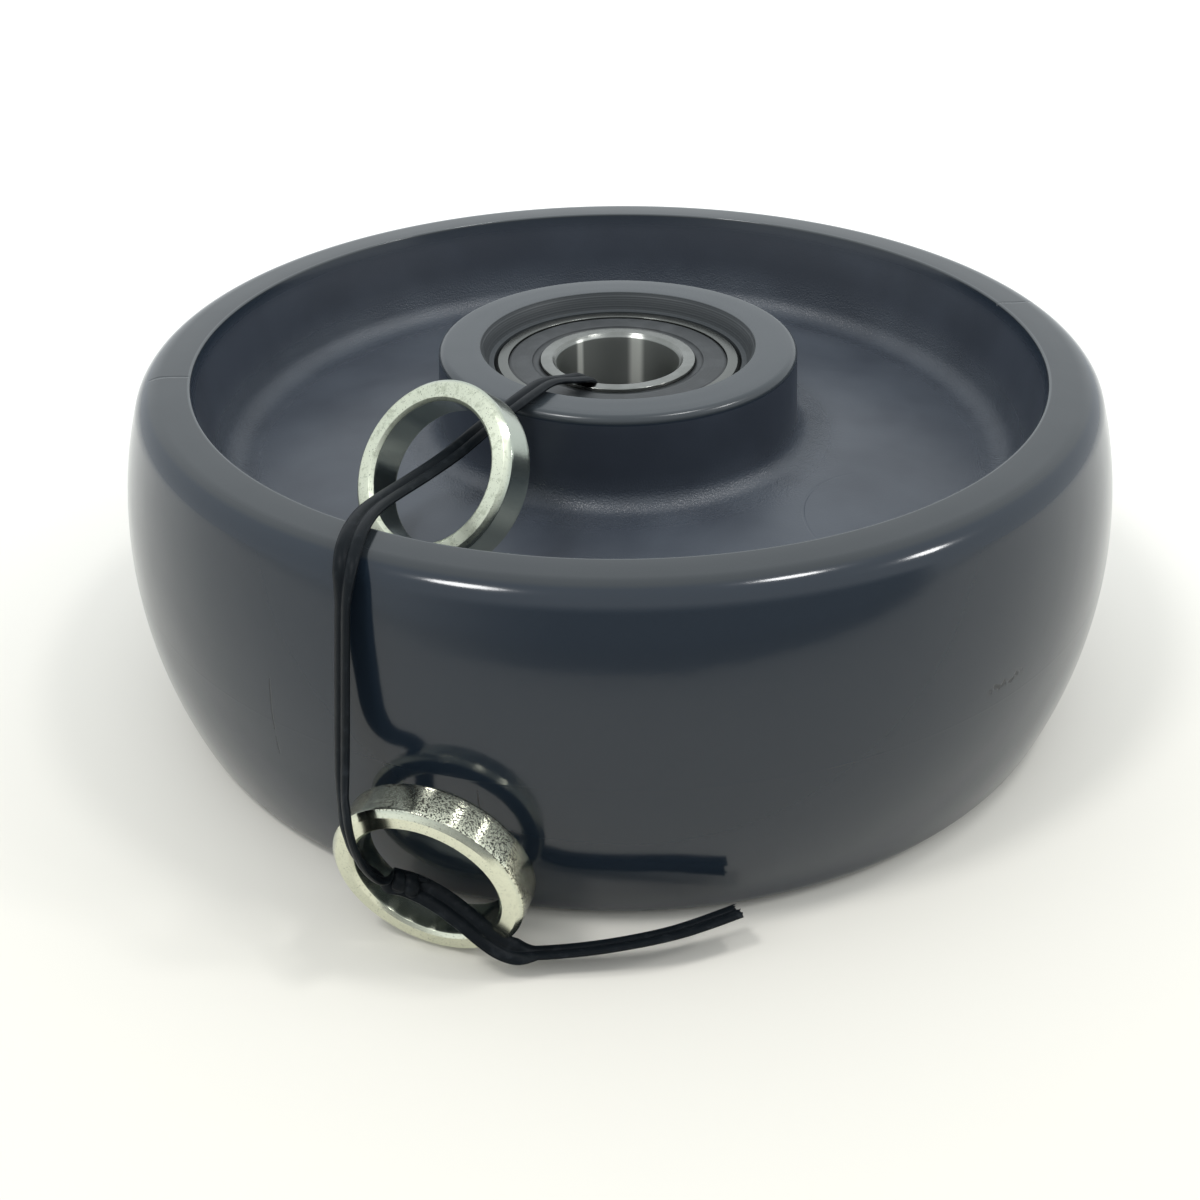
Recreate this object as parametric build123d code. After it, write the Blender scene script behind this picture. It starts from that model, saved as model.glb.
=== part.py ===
# A moulded plastic wheel, 8 inches across, with a sealed ball bearing pressed into each end of its hub.
# Two loose axle spacers belong to it, tied on with a flat strap that comes out of the upper bearing.
#
# Frame: millimetres, the axle along Z. The wheel lies flat, its lower rim face on z = 0.

from build123d import *
import os
from math import cos, radians, sin, sqrt, tan

# Driving dimensions: wheel moulding
WHEEL_RADIUS = 101.6
RIM_WIDTH = 67.5
CROWN_RADIUS = 90.8          # tread arc, seen in a section through the axle
SHOULDER_RADIUS = 5.6        # round between tread and rim face
RIM_DEPTH = 16.0             # from the top of the crown in to the lip of the rim face
RIM_DRAFT = 4.6              # from the lip in to the foot of the rim's inner wall
RIM_LIP_ROUND = 0.4
RIM_FOOT_FILLET = 5.0
WEB_HALF_AT_RIM = 12.7
WEB_HALF_AT_HUB = 16.5
HUB_WALL = 11.1              # hub face, from the bearing's outside to the hub's edge
HUB_DRAFT = 1.0
HUB_EDGE_ROUND = 1.5
HUB_FOOT_FILLET = 4.0
HUB_RISE = 0.9               # upper hub face above the rim face
HUB_SETBACK = 0.1            # lower hub face inside the rim face, so that the wheel rests on its rim
SEAT_SHOULDER = 3.9          # step that each bearing is pressed against
LEAD_IN_LEDGE = 0.9          # flat ledge round the bearing, at the foot of the lead-in
LEAD_IN_FLARE = 1.7          # widening of the lead-in from the ledge to the hub face
BEARING_RECESS = 3.5         # bearing face inside the hub face

# Driving dimensions: ball bearing, 1 inch bore
BEARING_BORE_RADIUS = 12.7
BEARING_OUTER_RADIUS = 25.4
BEARING_WIDTH = 12.7
BEARING_CHAMFER = 0.8
BALL_COUNT = 10
BALL_RADIUS = 3.175
GROOVE_CONFORMITY = 1.04     # radius of the ball grooves over the ball's
RADIAL_PLAY = 0.08
INNER_LAND_WALL = 3.2        # face of the inner ring, where the seal lip runs
INNER_SHOULDER_DROP = 1.75   # inner ring's shoulders below the pitch circle
OUTER_SHOULDER_RISE = 1.85   # outer ring's shoulders above the pitch circle
OUTER_FACE_WALL = 2.9        # face of the outer ring
SEAL_UNDERCUT = 0.7          # groove behind that face, for the seal's bead
SEAL_GROOVE_DEPTH = 1.6      # shoulders below the ring faces
SEAL_GROOVE_LIP = 0.6        # rim that holds the seal in
SEAL_SETBACK = 0.25          # seal face below the ring faces
SEAL_STEP_WIDTH = 1.7        # near the inner ring the seal steps down to its lip
SEAL_STEP_DEPTH = 0.45
CAGE_SHEET = 0.7
CAGE_WIDTH = 2.8
RIVET_RADIUS = 0.6
RIVET_HEAD_RADIUS = 0.95
RIVET_HEAD_HEIGHT = 0.35

# Driving dimensions: hidden tube between the inner rings
SPACER_TUBE_INNER_RADIUS = 12.9
SPACER_TUBE_OUTER_RADIUS = 15.5

# Driving dimensions: loose axle spacers
AXLE_SPACER_OUTER_RADIUS = 17.0
AXLE_SPACER_BORE_RADIUS = 13.0
AXLE_SPACER_LENGTH = 7.6
AXLE_SPACER_CHAMFER = 1.0
AXLE_SPACER_BORE_CHAMFER = 0.6

# Where the loose spacers lie: polar place of the middle, heading of the axis, and its rise from level
UPPER_SPACER_PLACE = (59.0, -122.2)
UPPER_SPACER_HEADING = -129.0
UPPER_SPACER_RISE = 37.1
LOWER_SPACER_OFF_TREAD = 4.5
LOWER_SPACER_BEARING = -106.8
LOWER_SPACER_HEADING = -108.7
LOWER_SPACER_RISE = -9.5

# Driving dimensions: strap, as a plain round tube
STRAP_TUBE_DIAMETER = 2.4

# Fits
SEAT_CLEARANCE = 0.05        # outer ring in its seat
SEAL_CLEARANCE = 0.05        # seal in its groove
LIP_CLEARANCE = 0.1          # seal lip on the inner ring
POCKET_CLEARANCE = 0.12      # ball in its cage pocket
RIVET_CLEARANCE = 0.02
REST_CLEARANCE = 0.3         # loose pieces above what carries them

# Places worked out from these
MID_HEIGHT = RIM_WIDTH / 2
RIM_LIP_RADIUS = WHEEL_RADIUS - RIM_DEPTH
RIM_FOOT_RADIUS = RIM_LIP_RADIUS - RIM_DRAFT
HUB_FACE_RADIUS = BEARING_OUTER_RADIUS + HUB_WALL
HUB_FOOT_RADIUS = HUB_FACE_RADIUS + HUB_DRAFT
SEAT_RADIUS = BEARING_OUTER_RADIUS + SEAT_CLEARANCE
UPPER_HUB_HALF = MID_HEIGHT + HUB_RISE
LOWER_HUB_HALF = MID_HEIGHT - HUB_SETBACK
SEAT_DEPTH = BEARING_RECESS + BEARING_WIDTH
BEARING_DEPTH = BEARING_RECESS + BEARING_WIDTH / 2
BEARING_HEIGHTS = {"upper": MID_HEIGHT + UPPER_HUB_HALF - BEARING_DEPTH,
                   "lower": MID_HEIGHT - LOWER_HUB_HALF + BEARING_DEPTH}
PITCH_RADIUS = (BEARING_BORE_RADIUS + BEARING_OUTER_RADIUS) / 2
GROOVE_RADIUS = BALL_RADIUS * GROOVE_CONFORMITY
INNER_LAND_RADIUS = BEARING_BORE_RADIUS + INNER_LAND_WALL
INNER_SHOULDER_RADIUS = PITCH_RADIUS - INNER_SHOULDER_DROP
OUTER_SHOULDER_RADIUS = PITCH_RADIUS + OUTER_SHOULDER_RISE
OUTER_FACE_RADIUS = BEARING_OUTER_RADIUS - OUTER_FACE_WALL
SEAL_GROOVE_RADIUS = OUTER_FACE_RADIUS + SEAL_UNDERCUT
SEAL_STEP_RADIUS = INNER_LAND_RADIUS + SEAL_STEP_WIDTH
CAGE_INNER_RADIUS = PITCH_RADIUS - CAGE_WIDTH / 2
CAGE_OUTER_RADIUS = PITCH_RADIUS + CAGE_WIDTH / 2
POCKET_RADIUS = BALL_RADIUS + POCKET_CLEARANCE
BALL_ANGLES = [360 / BALL_COUNT * index for index in range(BALL_COUNT)]
RIVET_ANGLES = [angle + 180 / BALL_COUNT for angle in BALL_ANGLES]


def turned(outline):
    """Revolve a closed outline of (radius, height) points about Z."""
    return revolve(Plane.XZ * make_face(Polyline(*outline, close=True)), axis=Axis.Z)


def polar(radius, angle, height=0.0):
    """A place at a radius and an angle in degrees about the axle."""
    return Pos(radius * cos(radians(angle)), radius * sin(radians(angle)), height)


def around(shape, angles):
    """Copies of a shape turned about Z, kept as separate solids."""
    return [Rot(0, 0, angle) * shape for angle in angles]


# Wheel body: one moulding with a crowned tread, a web at mid height and a hub about as long as the rim is wide
def crown_drop(height):
    """How far the crowned tread lies inside the wheel's radius at a height from mid height."""
    return CROWN_RADIUS - sqrt(CROWN_RADIUS**2 - height**2)


def web_half(radius):
    """Half the web's thickness at a radius."""
    share = (radius - HUB_FOOT_RADIUS) / (RIM_FOOT_RADIUS - HUB_FOOT_RADIUS)
    return WEB_HALF_AT_HUB + share * (WEB_HALF_AT_RIM - WEB_HALF_AT_HUB)


def half_section(hub_half):
    """Corners of half the wheel's section, from the core out to the tread, heights from mid height."""
    seat_top = hub_half - BEARING_RECESS
    seat_floor = hub_half - SEAT_DEPTH
    return [
        (SEAT_RADIUS - SEAT_SHOULDER, seat_floor),
        (SEAT_RADIUS, seat_floor),
        (SEAT_RADIUS, seat_top),
        (SEAT_RADIUS + LEAD_IN_LEDGE, seat_top),
        (SEAT_RADIUS + LEAD_IN_LEDGE + LEAD_IN_FLARE, hub_half),
        (HUB_FACE_RADIUS, hub_half),
        (HUB_FOOT_RADIUS, WEB_HALF_AT_HUB),
        (RIM_FOOT_RADIUS, WEB_HALF_AT_RIM),
        (RIM_LIP_RADIUS, MID_HEIGHT),
        (WHEEL_RADIUS - crown_drop(MID_HEIGHT), MID_HEIGHT),
    ]


def wheel_body():
    upper = half_section(UPPER_HUB_HALF)
    lower = [(radius, -half) for radius, half in reversed(half_section(LOWER_HUB_HALF))]
    section = Polyline(*lower, *upper)
    tread = ThreePointArc(upper[-1], (WHEEL_RADIUS, 0), lower[0])
    core = Line(upper[0], lower[-1])
    face = make_face([section, tread, core])
    rounds = [HUB_EDGE_ROUND, HUB_FOOT_FILLET, RIM_FOOT_FILLET, RIM_LIP_ROUND, SHOULDER_RADIUS]
    rounded_corners = list(zip(upper[-5:], rounds)) + list(zip(lower[4::-1], rounds))
    for place, size in rounded_corners:
        corner = face.vertices().sort_by_distance(place)[0]
        face = fillet(corner, size)
    return Pos(0, 0, MID_HEIGHT) * revolve(Plane.XZ * face, axis=Axis.Z)


# Ball bearing: the same set of pieces in each end of the hub, drawn about its own middle
def bearing_inner_ring():
    half = BEARING_WIDTH / 2
    shoulder = half - SEAL_GROOVE_DEPTH
    ring = turned([
        (BEARING_BORE_RADIUS, -half + BEARING_CHAMFER),
        (BEARING_BORE_RADIUS + BEARING_CHAMFER, -half),
        (INNER_LAND_RADIUS, -half),
        (INNER_LAND_RADIUS, -shoulder),
        (INNER_SHOULDER_RADIUS, -shoulder),
        (INNER_SHOULDER_RADIUS, shoulder),
        (INNER_LAND_RADIUS, shoulder),
        (INNER_LAND_RADIUS, half),
        (BEARING_BORE_RADIUS + BEARING_CHAMFER, half),
        (BEARING_BORE_RADIUS, half - BEARING_CHAMFER),
    ])
    groove_centre = PITCH_RADIUS - BALL_RADIUS - RADIAL_PLAY / 2 + GROOVE_RADIUS
    return ring - Torus(groove_centre, GROOVE_RADIUS)


def bearing_outer_ring():
    half = BEARING_WIDTH / 2
    shoulder = half - SEAL_GROOVE_DEPTH
    lip = half - SEAL_GROOVE_LIP
    upper = [
        (OUTER_SHOULDER_RADIUS, shoulder),
        (SEAL_GROOVE_RADIUS, shoulder),
        (SEAL_GROOVE_RADIUS, lip),
        (OUTER_FACE_RADIUS, lip),
        (OUTER_FACE_RADIUS, half),
        (BEARING_OUTER_RADIUS - BEARING_CHAMFER, half),
        (BEARING_OUTER_RADIUS, half - BEARING_CHAMFER),
    ]
    lower = [(radius, -height) for radius, height in reversed(upper)]
    groove_centre = PITCH_RADIUS + BALL_RADIUS + RADIAL_PLAY / 2 - GROOVE_RADIUS
    return turned(upper + lower) - Torus(groove_centre, GROOVE_RADIUS)


def bearing_seal(side):
    """A moulded rubber seal. side is 1 above the balls and -1 below them."""
    half = BEARING_WIDTH / 2
    back = half - SEAL_GROOVE_DEPTH + SEAL_CLEARANCE
    bead = half - SEAL_GROOVE_LIP - SEAL_CLEARANCE
    front = half - SEAL_SETBACK
    lip = front - SEAL_STEP_DEPTH
    inner = INNER_LAND_RADIUS + LIP_CLEARANCE
    outline = [
        (inner, back),
        (SEAL_GROOVE_RADIUS - SEAL_CLEARANCE, back),
        (SEAL_GROOVE_RADIUS - SEAL_CLEARANCE, bead),
        (OUTER_FACE_RADIUS - SEAL_CLEARANCE, bead),
        (OUTER_FACE_RADIUS - SEAL_CLEARANCE, front),
        (SEAL_STEP_RADIUS, front),
        (SEAL_STEP_RADIUS, lip),
        (inner, lip),
    ]
    return turned([(radius, side * height) for radius, height in outline])


def bearing_balls():
    return Compound(children=around(Pos(PITCH_RADIUS, 0, 0) * Sphere(BALL_RADIUS), BALL_ANGLES))


def bearing_cage(side):
    """Half of a ribbon cage: a pressed band with a round pocket for each ball, drilled for rivets."""
    band = Cylinder(CAGE_OUTER_RADIUS, CAGE_SHEET) - Cylinder(CAGE_INNER_RADIUS, CAGE_SHEET)
    half_cage = Pos(0, 0, CAGE_SHEET / 2) * band
    reach = POCKET_RADIUS + CAGE_SHEET
    sleeve = Cylinder(CAGE_OUTER_RADIUS, reach) - Cylinder(CAGE_INNER_RADIUS, reach)
    dome = Pos(PITCH_RADIUS, 0, 0) * Sphere(reach) & Pos(0, 0, reach / 2) * sleeve
    half_cage += around(dome, BALL_ANGLES)
    half_cage -= around(Pos(PITCH_RADIUS, 0, 0) * Sphere(POCKET_RADIUS), BALL_ANGLES)
    hole = Pos(PITCH_RADIUS, 0, CAGE_SHEET / 2) * Cylinder(RIVET_RADIUS + RIVET_CLEARANCE, 2 * CAGE_SHEET)
    half_cage -= around(hole, RIVET_ANGLES)
    return half_cage if side > 0 else Rot(180, 0, 0) * half_cage


def cage_rivets():
    head_top = CAGE_SHEET + RIVET_HEAD_HEIGHT
    rivet = turned([
        (0, -head_top),
        (RIVET_HEAD_RADIUS, -head_top),
        (RIVET_HEAD_RADIUS, -CAGE_SHEET),
        (RIVET_RADIUS, -CAGE_SHEET),
        (RIVET_RADIUS, CAGE_SHEET),
        (RIVET_HEAD_RADIUS, CAGE_SHEET),
        (RIVET_HEAD_RADIUS, head_top),
        (0, head_top),
    ])
    return Compound(children=around(Pos(PITCH_RADIUS, 0, 0) * rivet, RIVET_ANGLES))


# Bearing spacer: a tube that keeps the two inner rings apart when the axle nut is tightened
def bearing_spacer_tube():
    top = UPPER_HUB_HALF - SEAT_DEPTH
    bottom = SEAT_DEPTH - LOWER_HUB_HALF
    outline = [
        (SPACER_TUBE_INNER_RADIUS, bottom),
        (SPACER_TUBE_OUTER_RADIUS, bottom),
        (SPACER_TUBE_OUTER_RADIUS, top),
        (SPACER_TUBE_INNER_RADIUS, top),
    ]
    return Pos(0, 0, MID_HEIGHT) * turned(outline)


# Axle spacers: two loose turned rings, one standing on the web and one on the floor by the tread
def axle_spacer():
    half = AXLE_SPACER_LENGTH / 2
    return turned([
        (AXLE_SPACER_BORE_RADIUS, -half + AXLE_SPACER_BORE_CHAMFER),
        (AXLE_SPACER_BORE_RADIUS + AXLE_SPACER_BORE_CHAMFER, -half),
        (AXLE_SPACER_OUTER_RADIUS - AXLE_SPACER_CHAMFER, -half),
        (AXLE_SPACER_OUTER_RADIUS, -half + AXLE_SPACER_CHAMFER),
        (AXLE_SPACER_OUTER_RADIUS, half - AXLE_SPACER_CHAMFER),
        (AXLE_SPACER_OUTER_RADIUS - AXLE_SPACER_CHAMFER, half),
        (AXLE_SPACER_BORE_RADIUS + AXLE_SPACER_BORE_CHAMFER, half),
        (AXLE_SPACER_BORE_RADIUS, half - AXLE_SPACER_BORE_CHAMFER),
    ])


def spacer_reach(rise):
    """How far a spacer with a tilted axis reaches below its middle."""
    half = AXLE_SPACER_LENGTH / 2
    slope = abs(sin(radians(rise)))
    level = cos(radians(rise))
    face_edge = half * slope + (AXLE_SPACER_OUTER_RADIUS - AXLE_SPACER_CHAMFER) * level
    wall_edge = (half - AXLE_SPACER_CHAMFER) * slope + AXLE_SPACER_OUTER_RADIUS * level
    return max(face_edge, wall_edge)


def stood(spacer, place, heading, rise):
    """Turn a spacer's axis from Z to a heading and a rise, then move its middle to a place."""
    return place * Rot(0, 0, heading) * Rot(0, 90 - rise, 0) * spacer


def upper_axle_spacer():
    foot_radius = UPPER_SPACER_PLACE[0] + AXLE_SPACER_OUTER_RADIUS * sin(radians(UPPER_SPACER_RISE)) / 2
    web_top = MID_HEIGHT + web_half(foot_radius)
    height = web_top + REST_CLEARANCE + spacer_reach(UPPER_SPACER_RISE)
    return stood(axle_spacer(), polar(*UPPER_SPACER_PLACE, height), UPPER_SPACER_HEADING, UPPER_SPACER_RISE)


def lower_axle_spacer():
    height = REST_CLEARANCE + spacer_reach(LOWER_SPACER_RISE)
    place = polar(WHEEL_RADIUS + LOWER_SPACER_OFF_TREAD, LOWER_SPACER_BEARING, height)
    return stood(axle_spacer(), place, LOWER_SPACER_HEADING, LOWER_SPACER_RISE)


# Strap: out of the upper bearing, over the hub, through the upper spacer, over the rim and down the tread,
# in and out of the lower spacer, and along the floor to its cut end. Points chosen by hand.
STRAP_ROUTE = [
    (-5.2, -7.8, 56.4),
    (-5.4, -8.4, 61.2),
    (-6.3, -10.0, 66.4),
    (-8.6, -13.7, 69.6),
    (-12.2, -19.2, 70.2),
    (-16.1, -25.2, 70.2),
    (-20.6, -32.0, 69.8),
    (-26.0, -41.0, 67.8),
    (-32.0, -50.6, 66.9),
    (-37.6, -60.0, 67.2),
    (-42.0, -69.4, 68.3),
    (-44.0, -78.0, 69.3),
    (-44.4, -86.0, 69.4),
    (-43.6, -92.6, 67.0),
    (-43.2, -95.6, 60.6),
    (-43.4, -96.0, 50.8),
    (-43.7, -98.0, 41.8),
    (-43.6, -102.0, 34.8),
    (-42.9, -106.2, 29.4),
    (-42.0, -106.7, 22.8),
    (-39.8, -102.9, 17.2),
    (-35.2, -101.0, 13.8),
    (-30.4, -101.6, 11.8),
    (-26.2, -104.8, 10.8),
    (-22.2, -109.3, 10.0),
    (-18.0, -110.4, 6.2),
    (-13.4, -108.6, 2.3),
    (-7.2, -106.4, 1.5),
    (0.4, -104.4, 1.6),
    (8.4, -101.8, 1.5),
    (15.4, -98.9, 1.6),
    (20.9, -95.7, 1.5),
]


def bend_radii(route):
    """The largest round at each corner: 0.45 of the shorter run over the tangent of half the turn."""
    points = [Vector(*point) for point in route]
    radii = []
    for before, corner, after in zip(points, points[1:], points[2:]):
        run_in = corner - before
        run_out = after - corner
        half_turn = radians(run_in.get_angle(run_out) / 2)
        radii.append(0.45 * min(run_in.length, run_out.length) / tan(half_turn))
    return radii


def tie_strap():
    radii = bend_radii(STRAP_ROUTE)
    path = FilletPolyline(*STRAP_ROUTE, radius=radii)
    start = Plane(origin=path @ 0, z_dir=path % 0)
    tube = sweep(start * Circle(STRAP_TUBE_DIAMETER / 2), path=path)
    section = Circle(STRAP_TUBE_DIAMETER / 2).area
    print("strap length", round(path.length, 1), "volume over section times length",
          round(tube.volume / (section * path.length), 4))
    print("strap radii", [round(radius, 1) for radius in radii])
    return tube


# Write one file for each piece
def bearing_pieces(name, height):
    """The nodes of one bearing. The outer seal is the one that shows at the hub face."""
    outward = 1 if height > MID_HEIGHT else -1
    pieces = {
        "outer_ring": bearing_outer_ring(),
        "inner_ring": bearing_inner_ring(),
        "balls": bearing_balls(),
        "cage_outer_half": bearing_cage(outward),
        "cage_inner_half": bearing_cage(-outward),
        "cage_rivets": cage_rivets(),
        "outer_seal": bearing_seal(outward),
        "inner_seal": bearing_seal(-outward),
    }
    return {f"{name}_bearing_{piece}": Pos(0, 0, height) * shape for piece, shape in pieces.items()}


def all_pieces():
    pieces = {"wheel_body": wheel_body()}
    for name, height in BEARING_HEIGHTS.items():
        pieces.update(bearing_pieces(name, height))
    pieces["bearing_spacer_tube"] = bearing_spacer_tube()
    pieces["upper_axle_spacer"] = upper_axle_spacer()
    pieces["lower_axle_spacer"] = lower_axle_spacer()
    pieces["tie_strap"] = tie_strap()
    return pieces


os.makedirs("parts", exist_ok=True)
for node, shape in all_pieces().items():
    export_step(shape, f"parts/{node}.step")
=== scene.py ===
import bpy
import math
from mathutils import Matrix, Vector


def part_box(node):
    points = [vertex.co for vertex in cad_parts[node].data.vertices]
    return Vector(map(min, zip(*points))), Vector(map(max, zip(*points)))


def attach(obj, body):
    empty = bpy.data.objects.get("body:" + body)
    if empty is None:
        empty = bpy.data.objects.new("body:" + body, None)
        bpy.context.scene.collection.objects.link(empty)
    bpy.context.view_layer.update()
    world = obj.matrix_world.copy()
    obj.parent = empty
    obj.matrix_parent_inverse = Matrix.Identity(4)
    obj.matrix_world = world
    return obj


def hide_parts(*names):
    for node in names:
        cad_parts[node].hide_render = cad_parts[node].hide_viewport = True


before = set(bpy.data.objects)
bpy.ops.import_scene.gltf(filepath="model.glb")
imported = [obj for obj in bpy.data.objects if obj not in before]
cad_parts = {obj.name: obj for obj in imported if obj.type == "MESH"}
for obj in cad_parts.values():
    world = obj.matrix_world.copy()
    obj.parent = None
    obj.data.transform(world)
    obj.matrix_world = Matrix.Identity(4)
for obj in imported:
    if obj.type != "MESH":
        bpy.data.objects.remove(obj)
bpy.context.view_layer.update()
scene = bpy.context.scene
mm = 0.001

# Wheel body: one heavy moulding in dark slate plastic, crowned tread, flat rim faces, a web at mid height
# and a hub as long as the rim is wide. The faces and tread came off a polished mould, the recesses off a
# satin one, and the bearing seats were turned afterwards, which left fine rings in their mouths.
WHEEL_RADIUS = 101.6 * mm
HALF_WIDTH = 33.75 * mm
CROWN_RADIUS = 90.8 * mm
SHOULDER_RADIUS = 5.6 * mm
RIM_LIP_RADIUS = 85.6 * mm
RIM_FOOT_RADIUS = 81.0 * mm
WEB_HALF_AT_RIM = 12.7 * mm
WEB_HALF_AT_HUB = 16.5 * mm
HUB_FOOT_RADIUS = 37.5 * mm
HUB_FACE_RADIUS = 36.5 * mm
UPPER_HUB_HALF = HALF_WIDTH + 0.9 * mm
LOWER_HUB_HALF = HALF_WIDTH - 0.1 * mm
BEARING_RECESS = 3.5 * mm
BEARING_WIDTH = 12.7 * mm
LEAD_IN_RADIUS = 28.05 * mm
SEAT_RADIUS = 25.45 * mm
LEDGE_RADIUS = SEAT_RADIUS + 0.9 * mm
CORE_RADIUS = 21.55 * mm
TURNED_RINGS = 7
TURNED_RING_DEPTH = 0.13 * mm
TURNED_FROM = 0.12
TURNED_SHARE = 0.72
CORE_ROUND = 0.3 * mm
SEAT_ROUND = 0.1 * mm
LEAD_IN_ROUND = 0.25 * mm
HUB_EDGE_ROUND = 1.5 * mm
HUB_FOOT_ROUND = 4.0 * mm
RIM_FOOT_ROUND = 5.0 * mm
RIM_LIP_ROUND = 0.4 * mm
SHOULDER_STEPS = 14
CROWN_STEPS = 24
LONGEST_RUN = 3.0 * mm
WHEEL_STEPS = 240


def arc(centre, radius, start, end, count):
    """Points of an arc in the section plane, angles in radians."""
    angles = [start + (end - start) * index / count for index in range(count + 1)]
    return [(centre[0] + radius * math.cos(a), centre[1] + radius * math.sin(a)) for a in angles]


def rounded(corners, count=8):
    """A section line through (radius, height, round) corners, with each round as an arc."""
    line = [corners[0][:2]]
    for before, corner, after in zip(corners, corners[1:], corners[2:]):
        here = Vector(corner[:2])
        to_before = (Vector(before[:2]) - here).normalized()
        to_after = (Vector(after[:2]) - here).normalized()
        half = to_before.angle(to_after) / 2
        if corner[2] == 0:
            line.append(tuple(here))
            continue
        reach = corner[2] / math.tan(half)
        middle = here + (to_before + to_after).normalized() * corner[2] / math.sin(half)
        first = here + to_before * reach - middle
        turn = first.angle_signed(here + to_after * reach - middle)
        turns = [Matrix.Rotation(-turn * step / count, 2) for step in range(count + 1)]
        line += [tuple(middle + partly @ first) for partly in turns]
    return line + [corners[-1][:2]]


def divided(line, longest):
    """A section line with its long runs divided, so that shading stays even."""
    points = []
    for start, end in zip(line, line[1:]):
        count = max(1, math.ceil(math.dist(start, end) / longest))
        points += [tuple(Vector(start).lerp(Vector(end), step / count)) for step in range(count)]
    return points + [line[-1]]


def mesh_piece(name, places, faces):
    """A new smooth piece in the scene, from its points and faces."""
    mesh = bpy.data.meshes.new(name)
    mesh.from_pydata(places, [], faces)
    mesh.shade_smooth()
    piece = bpy.data.objects.new(name, mesh)
    scene.collection.objects.link(piece)
    return piece


def turned_piece(name, section, steps):
    """A smooth ring: a closed section of (radius, height) points carried round the Z axis, faces outward."""
    area = sum(r0 * z1 - r1 * z0 for (r0, z0), (r1, z1) in zip(section, section[1:] + section[:1]))
    if area < 0:
        section = section[::-1]
    count = len(section)
    places = []
    faces = []
    for step in range(steps):
        angle = 2 * math.pi * step / steps
        places += [(r * math.cos(angle), r * math.sin(angle), z) for r, z in section]
        ahead = (step + 1) % steps
        for index in range(count):
            following = (index + 1) % count
            faces.append((step * count + index, ahead * count + index,
                          ahead * count + following, step * count + following))
    return mesh_piece(name, places, faces)


def mirrored(line):
    """The section's lower half, from its upper half."""
    return [(r, -z) for r, z in reversed(line)]


def half_section(hub_half):
    """Half of the wheel's section, from the core out to the crown of the tread, heights from its middle."""
    seat_top = hub_half - BEARING_RECESS
    seat_floor = seat_top - BEARING_WIDTH
    mouth = Vector((LEAD_IN_RADIUS - LEDGE_RADIUS, BEARING_RECESS))
    ring_depth = Vector((mouth.y, -mouth.x)).normalized() * TURNED_RING_DEPTH
    turned_mouth = []
    for ring in range(1, 2 * TURNED_RINGS):
        share = TURNED_FROM + TURNED_SHARE * ring / (2 * TURNED_RINGS)
        place = Vector((LEDGE_RADIUS, seat_top)) + mouth * share + ring_depth * (ring % 2)
        turned_mouth.append((place.x, place.y, 0))
    crown_centre = WHEEL_RADIUS - CROWN_RADIUS
    shoulder_height = HALF_WIDTH - SHOULDER_RADIUS
    shoulder_reach = CROWN_RADIUS - SHOULDER_RADIUS
    shoulder_angle = math.asin(shoulder_height / shoulder_reach)
    shoulder_radius = crown_centre + shoulder_reach * math.cos(shoulder_angle)
    line = rounded([
        (CORE_RADIUS, 0, 0),
        (CORE_RADIUS, seat_floor, CORE_ROUND),
        (SEAT_RADIUS, seat_floor, SEAT_ROUND),
        (SEAT_RADIUS, seat_top, SEAT_ROUND),
        (LEDGE_RADIUS, seat_top, SEAT_ROUND),
        *turned_mouth,
        (LEAD_IN_RADIUS, hub_half, LEAD_IN_ROUND),
        (HUB_FACE_RADIUS, hub_half, HUB_EDGE_ROUND),
        (HUB_FOOT_RADIUS, WEB_HALF_AT_HUB, HUB_FOOT_ROUND),
        (RIM_FOOT_RADIUS, WEB_HALF_AT_RIM, RIM_FOOT_ROUND),
        (RIM_LIP_RADIUS, HALF_WIDTH, RIM_LIP_ROUND),
        (shoulder_radius, HALF_WIDTH, 0),
    ])
    shoulder_centre = (shoulder_radius, shoulder_height)
    line += arc(shoulder_centre, SHOULDER_RADIUS, math.pi / 2, shoulder_angle, SHOULDER_STEPS)[1:]
    line += arc((crown_centre, 0), CROWN_RADIUS, shoulder_angle, 0, CROWN_STEPS)[1:]
    return divided(line, LONGEST_RUN)


wheel_section = half_section(UPPER_HUB_HALF) + mirrored(half_section(LOWER_HUB_HALF))[1:-1]
wheel = turned_piece("moulded_wheel", [(r, HALF_WIDTH + z) for r, z in wheel_section], WHEEL_STEPS)


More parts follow.
